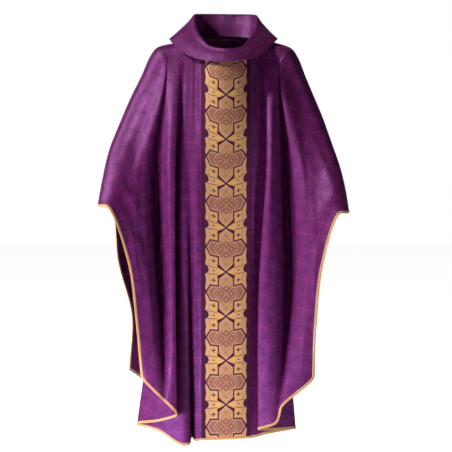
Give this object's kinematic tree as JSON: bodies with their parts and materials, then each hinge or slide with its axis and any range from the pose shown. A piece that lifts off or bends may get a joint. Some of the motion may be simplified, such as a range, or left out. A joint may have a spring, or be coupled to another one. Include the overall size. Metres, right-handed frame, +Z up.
{
  "type": "gothic chasuble with cowl collar",
  "caption": "Full-cut damask chasuble in its worn form, with a cowl collar, a woven band down the centre front, deep hanging folds and bound edges.",
  "frame": {"origin": "middle of the wearer's neck at shoulder level", "axes": "+Z up the wearer, +Y from the front to the back of the garment, +X to the right as seen from the front"},
  "size_m": [0.7789, 0.4111, 1.3633],
  "materials": {
    "damask": "purple figured damask with a satin sheen",
    "orphrey": "gold and purple woven band",
    "binding": "gold satin bias binding"
  },
  "bodies": {
    "root": {"front_panel": "damask", "back_panel": "damask", "collar": "damask", "front_orphrey": "orphrey", "front_binding": "binding", "back_binding": "binding"}
  },
  "joints": []
}
